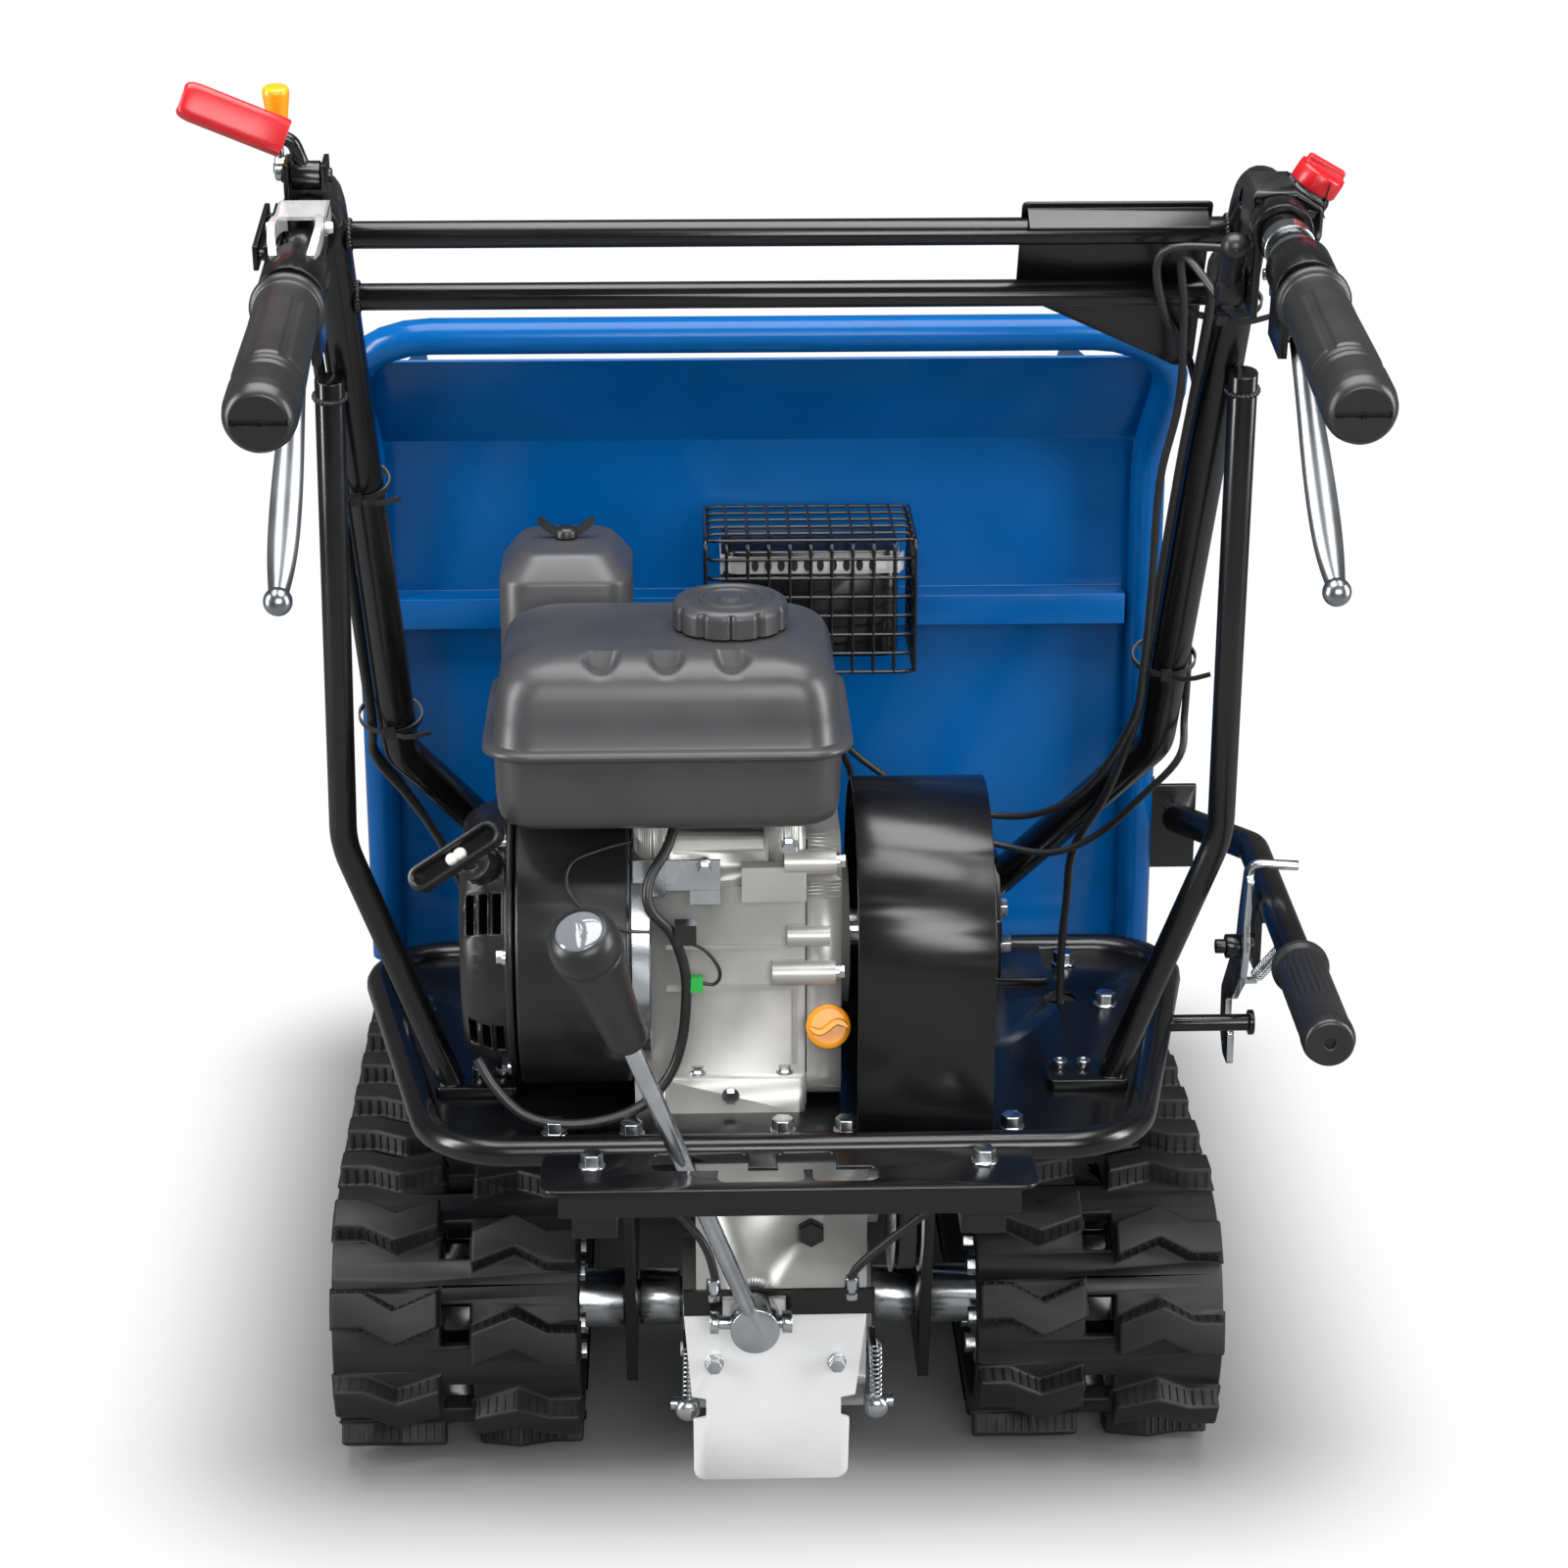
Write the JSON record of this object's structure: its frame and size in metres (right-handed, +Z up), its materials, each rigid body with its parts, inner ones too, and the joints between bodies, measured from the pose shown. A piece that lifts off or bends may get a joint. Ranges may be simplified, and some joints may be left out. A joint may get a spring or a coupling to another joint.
{
  "type": "tracked power carrier",
  "caption": "Walk-behind tracked power carrier: blue tipping bucket, small petrol engine on a deck, rubber tracks, upright handlebars with squeeze levers and a shift lever.",
  "frame": {"origin": "on the ground, midway between the two tracks and midway between the grip ends and the bucket lip; the tipping lever on the right makes the middle of the outline lie a little under 10 mm to the right of it", "axes": "+X to the operator's right, +Y forward from the handlebars to the bucket lip, +Z up"},
  "size_m": [0.6957, 1.4966, 1.0766],
  "materials": {
    "black_paint": "satin",
    "track_rubber": "matte",
    "zinc_steel": "satin",
    "cast_aluminium": "cast",
    "grey_paint": "satin",
    "soft_rubber": "matte",
    "black_plastic": "satin",
    "chrome_wire": "polished",
    "yellow_plastic": "gloss",
    "red_plastic": "gloss",
    "blue_paint": "gloss"
  },
  "bodies": {
    "machine": {"chassis_frame": "black_paint", "track_belt_left": "track_rubber", "track_belt_right": "track_rubber", "deck_plate": "black_paint", "deck_rim": "black_paint", "handle_tubes": "black_paint", "handle_braces": "black_paint", "guard_plate": "black_paint", "gate_plate": "black_paint", "gearbox_case": "cast_aluminium", "gearbox_cover_plate": "grey_paint", "engine_crankcase": "cast_aluminium", "engine_side_cover": "cast_aluminium", "engine_cylinder": "cast_aluminium", "fan_housing": "black_plastic", "recoil_cover": "black_plastic", "starter_rope": "soft_rubber", "fuel_tank": "black_plastic", "air_cleaner": "black_plastic", "carburettor": "cast_aluminium", "muffler": "black_paint", "muffler_guard": "black_paint", "drive_belt": "soft_rubber", "belt_cover": "black_paint", "grips": "soft_rubber", "control_clamps": "black_paint", "switch_box": "black_plastic", "cables": "soft_rubber", "fasteners": "zinc_steel"},
    "sprocket_left": {"sprocket_left": "zinc_steel"},
    "sprocket_right": {"sprocket_right": "zinc_steel"},
    "idler_left": {"idler_left": "black_paint"},
    "idler_right": {"idler_right": "black_paint"},
    "roller_left_rear": {"roller_left_rear": "black_paint"},
    "roller_left_front": {"roller_left_front": "black_paint"},
    "roller_right_rear": {"roller_right_rear": "black_paint"},
    "roller_right_front": {"roller_right_front": "black_paint"},
    "bucket": {"bucket_tub": "blue_paint", "bucket_hoop": "blue_paint", "dump_lever": "black_paint", "dump_lever_grip": "soft_rubber", "latch_spring": "zinc_steel"},
    "latch": {"latch_plate": "zinc_steel"},
    "steering_lever_left": {"steering_lever_left": "chrome_wire"},
    "steering_lever_right": {"steering_lever_right": "chrome_wire"},
    "steering_arm_left": {"steering_arm_left": "zinc_steel"},
    "steering_arm_right": {"steering_arm_right": "zinc_steel"},
    "clutch_lever": {"clutch_lever": "black_paint", "clutch_sleeve": "red_plastic"},
    "lock_lever": {"lock_lever": "yellow_plastic"},
    "throttle_lever": {"throttle_lever": "black_plastic"},
    "stop_knob": {"stop_knob": "red_plastic"},
    "shift_lever": {"shift_lever": "zinc_steel", "shift_knob": "soft_rubber"},
    "fuel_cap": {"fuel_cap": "black_plastic"},
    "oil_cap": {"oil_cap": "yellow_plastic"},
    "wing_nut": {"wing_nut": "black_plastic"},
    "starter_handle": {"starter_handle": "black_plastic"},
    "crankshaft": {"crankshaft": "zinc_steel"},
    "driven_pulley": {"driven_pulley": "zinc_steel"}
  },
  "joints": [
    {"name": "sprocket_left_spin", "type": "hinge", "parent": "machine", "child": "sprocket_left", "pos_m": [-0.235, -0.076, 0.107], "axis": [1, 0, 0], "continuous": true},
    {"name": "idler_left_spin", "type": "hinge", "parent": "machine", "child": "idler_left", "pos_m": [-0.235, 0.56011, 0.107], "axis": [1, 0, 0], "continuous": true},
    {"name": "roller_left_rear_spin", "type": "hinge", "parent": "machine", "child": "roller_left_rear", "pos_m": [-0.235, 0.15, 0.0544], "axis": [1, 0, 0], "continuous": true},
    {"name": "roller_left_front_spin", "type": "hinge", "parent": "machine", "child": "roller_left_front", "pos_m": [-0.235, 0.35011, 0.0544], "axis": [1, 0, 0], "continuous": true},
    {"name": "sprocket_right_spin", "type": "hinge", "parent": "machine", "child": "sprocket_right", "pos_m": [0.235, -0.076, 0.107], "axis": [1, 0, 0], "continuous": true},
    {"name": "idler_right_spin", "type": "hinge", "parent": "machine", "child": "idler_right", "pos_m": [0.235, 0.56011, 0.107], "axis": [1, 0, 0], "continuous": true},
    {"name": "roller_right_rear_spin", "type": "hinge", "parent": "machine", "child": "roller_right_rear", "pos_m": [0.235, 0.15, 0.0544], "axis": [1, 0, 0], "continuous": true},
    {"name": "roller_right_front_spin", "type": "hinge", "parent": "machine", "child": "roller_right_front", "pos_m": [0.235, 0.35011, 0.0544], "axis": [1, 0, 0], "continuous": true},
    {"name": "crankshaft_spin", "type": "hinge", "parent": "machine", "child": "crankshaft", "pos_m": [0, -0.225, 0.467], "axis": [1, 0, 0], "continuous": true},
    {"name": "driven_pulley_spin", "type": "hinge", "parent": "machine", "child": "driven_pulley", "pos_m": [0.087, -0.19, 0.262], "axis": [1, 0, 0], "continuous": true},
    {"name": "bucket_tip", "type": "hinge", "parent": "machine", "child": "bucket", "pos_m": [0, 0.43, 0.3], "axis": [-1, 0, 0], "range_deg": [0, 65]},
    {"name": "latch_swing", "type": "hinge", "parent": "bucket", "child": "latch", "pos_m": [0.3245, -0.17, 0.427], "axis": [1, 0, 0], "range_deg": [-9, 15], "stiffness_Nm_per_rad": 2, "deforming": ["latch_spring"]},
    {"name": "steering_lever_left_squeeze", "type": "hinge", "parent": "machine", "child": "steering_lever_left", "pos_m": [-0.269, -0.56295, 0.95313], "axis": [-1, 0, 0], "range_deg": [0, 18], "stiffness_Nm_per_rad": 1.5, "springref_deg": -8.59},
    {"name": "steering_arm_left_pull", "type": "hinge", "parent": "machine", "child": "steering_arm_left", "pos_m": [-0.067, -0.165, 0.112], "axis": [-1, 0, 0], "range_deg": [0, 12.5]},
    {"name": "steering_lever_right_squeeze", "type": "hinge", "parent": "machine", "child": "steering_lever_right", "pos_m": [0.269, -0.56295, 0.95313], "axis": [-1, 0, 0], "range_deg": [0, 18], "stiffness_Nm_per_rad": 1.5, "springref_deg": -8.59},
    {"name": "steering_arm_right_pull", "type": "hinge", "parent": "machine", "child": "steering_arm_right", "pos_m": [0.067, -0.165, 0.112], "axis": [-1, 0, 0], "range_deg": [0, 12.5]},
    {"name": "clutch_lever_fold", "type": "hinge", "parent": "machine", "child": "clutch_lever", "pos_m": [-0.269, -0.4785, 1.02305], "axis": [1, 0, 0], "range_deg": [0, 55]},
    {"name": "lock_lever_turn", "type": "hinge", "parent": "machine", "child": "lock_lever", "pos_m": [-0.286, -0.45203, 1.02242], "axis": [-1, 0, 0], "range_deg": [0, 25]},
    {"name": "throttle_turn", "type": "hinge", "parent": "machine", "child": "throttle_lever", "pos_m": [0.245, -0.46545, 0.95731], "axis": [1, 0, 0], "range_deg": [0, 35]},
    {"name": "stop_knob_turn", "type": "hinge", "parent": "machine", "child": "stop_knob", "pos_m": [0.291, -0.46557, 1.01244], "axis": [0.5, -0.1432, 0.8541], "range_deg": [0, 90]},
    {"name": "shift_swing", "type": "hinge", "parent": "machine", "child": "shift_lever", "pos_m": [-0.02, -0.27, 0.191], "axis": [0, 1, 0], "range_deg": [-3, 10.5]},
    {"name": "fuel_cap_turn", "type": "hinge", "parent": "machine", "child": "fuel_cap", "pos_m": [-0.034, -0.25, 0.69], "axis": [0, 0, 1], "range_deg": [0, 90]},
    {"name": "oil_cap_turn", "type": "hinge", "parent": "machine", "child": "oil_cap", "pos_m": [0.029, -0.278, 0.419], "axis": [0, -0.9397, 0.342], "range_deg": [0, 180]},
    {"name": "wing_nut_turn", "type": "hinge", "parent": "machine", "child": "wing_nut", "pos_m": [-0.144, -0.103, 0.708], "axis": [0, 0, 1], "range_deg": [0, 180]},
    {"name": "starter_pull", "type": "slide", "parent": "machine", "child": "starter_handle", "axis": [-0.2504, -0.8514, 0.4608], "range_m": [0, 0.45], "stiffness_N_per_m": 12, "springref_m": -0.25, "deforming": ["starter_rope"]}
  ],
  "couplings": [
    {"joint": "idler_left_spin", "follows": "sprocket_left_spin", "ratio": 1.0052},
    {"joint": "roller_left_rear_spin", "follows": "sprocket_left_spin", "ratio": 3.2083},
    {"joint": "roller_left_front_spin", "follows": "sprocket_left_spin", "ratio": 3.2083},
    {"joint": "steering_arm_left_pull", "follows": "steering_lever_left_squeeze", "ratio": 0.6667},
    {"joint": "idler_right_spin", "follows": "sprocket_right_spin", "ratio": 1.0052},
    {"joint": "roller_right_rear_spin", "follows": "sprocket_right_spin", "ratio": 3.2083},
    {"joint": "roller_right_front_spin", "follows": "sprocket_right_spin", "ratio": 3.2083},
    {"joint": "steering_arm_right_pull", "follows": "steering_lever_right_squeeze", "ratio": 0.6667},
    {"joint": "driven_pulley_spin", "follows": "crankshaft_spin", "ratio": 0.6}
  ]
}
